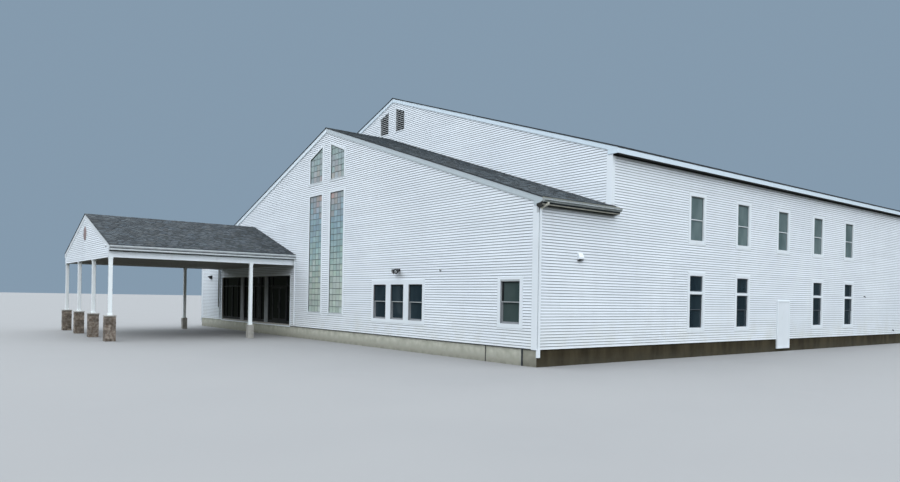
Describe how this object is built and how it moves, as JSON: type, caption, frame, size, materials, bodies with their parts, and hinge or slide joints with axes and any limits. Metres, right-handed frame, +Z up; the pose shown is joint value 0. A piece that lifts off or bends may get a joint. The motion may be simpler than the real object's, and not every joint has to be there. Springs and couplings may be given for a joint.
{
  "type": "modern church building, 1:2 scale model",
  "caption": "White clapboard church hall with a wide gabled front block, a taller two-storey block behind it and a columned entrance portico, as a half-size model.",
  "frame": {"origin": "middle of the footprint's bounding box, at the lowest ground the building meets", "axes": "+X right along the entrance front, +Y back from the portico through the main block, +Z up"},
  "size_m": [17.1558, 21.455, 6.485],
  "materials": {
    "siding": "satin white vinyl clapboard",
    "trim": "smooth white cladding",
    "shingles": "granular charcoal shingle",
    "concrete": "rough weathered concrete",
    "floor": "plain screed",
    "window": "dark clear glass in white frames",
    "stained_glass": "leaded pale glass",
    "louvre": "matt grey",
    "bronze": "dark anodised",
    "gutter": "weathered white enamel",
    "ceiling": "dark matt boarding"
  },
  "bodies": {
    "building": {"foundation": "concrete", "ground_floor": "floor", "upper_floor": "floor", "front_wall_right": "siding", "front_wall_over_entry": "siding", "front_wall_left": "siding", "entry_pilaster_left": "trim", "entry_pilaster_right": "trim", "front_block_right_wall": "siding", "front_block_left_wall": "siding", "front_block_back_wall": "siding", "main_right_wall": "siding", "main_left_wall": "siding", "main_back_wall": "siding", "main_front_gable": "siding", "front_roof_right": "shingles", "front_roof_left": "shingles", "main_roof_right": "shingles", "main_roof_left": "shingles", "front_rake_boards": "trim", "main_front_rake_boards": "trim", "main_back_rake_boards": "trim", "front_right_gutter": "gutter", "front_left_gutter": "gutter", "portico_roof_right": "shingles", "portico_roof_left": "shingles", "portico_gable": "siding", "portico_rake_boards": "trim", "portico_beam_front": "trim", "portico_beam_right": "trim", "portico_beam_left": "trim", "portico_ceiling": "ceiling", "portico_front_column_1": "trim", "portico_front_column_2": "trim", "portico_front_column_3": "trim", "portico_front_column_4": "trim", "portico_side_column_right": "trim", "portico_side_column_left": "trim", "portico_right_gutter": "trim", "portico_left_gutter": "trim", "front_single_window": "window", "front_triple_window": "window", "right_lower_windows": "window", "right_upper_windows": "window", "left_lower_windows": "window", "left_upper_windows": "window", "back_lower_windows": "window", "back_upper_windows": "window", "stained_glass_windows": "stained_glass", "gable_vent_left": "louvre", "gable_vent_right": "louvre", "storefront_left": "bronze", "storefront_middle": "bronze", "storefront_right": "bronze", "side_door_panel": "trim"},
    "left_door": {"door_leaf_left": "bronze"},
    "right_door": {"door_leaf_right": "bronze"}
  },
  "joints": [
    {"name": "left_door_hinge", "type": "hinge", "parent": "building", "child": "left_door", "pos_m": [-2.4025, -5.972, 0], "axis": [0, 0, -1], "range_deg": [0, 90]},
    {"name": "right_door_hinge", "type": "hinge", "parent": "building", "child": "right_door", "pos_m": [-1.4575, -5.972, 0], "axis": [0, 0, 1], "range_deg": [0, 90]}
  ]
}
